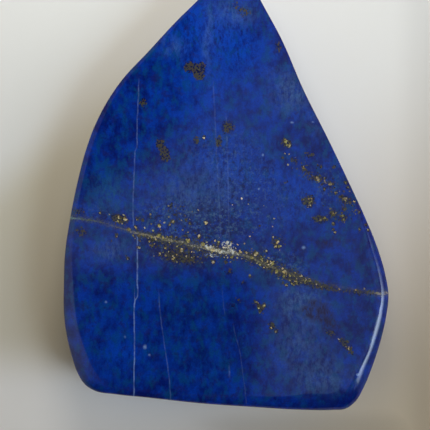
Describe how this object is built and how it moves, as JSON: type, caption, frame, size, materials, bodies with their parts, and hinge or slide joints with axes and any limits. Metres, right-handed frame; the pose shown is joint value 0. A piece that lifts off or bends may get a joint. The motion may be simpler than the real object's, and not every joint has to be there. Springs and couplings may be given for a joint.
{
  "type": "polished lapis lazuli slab",
  "caption": "Free-form polished stone slab, pear-shaped in plan, with a flat front, a rolled bevel, walls that curve in and a flat back to lie on.",
  "frame": {"origin": "on the flat back, under the middle of the outline's bounding box", "axes": "+Z out of the flat front, away from what the slab lies on; +Y along the slab's length, towards its narrow tip; +X to the right as the front is seen with the tip up"},
  "size_m": [0.0882, 0.1208, 0.022],
  "materials": {
    "lapis": "polished stone, deep blue with clouds, pale calcite veins and grains of golden pyrite"
  },
  "bodies": {
    "root": {"lapis_slab": "lapis"}
  },
  "joints": []
}
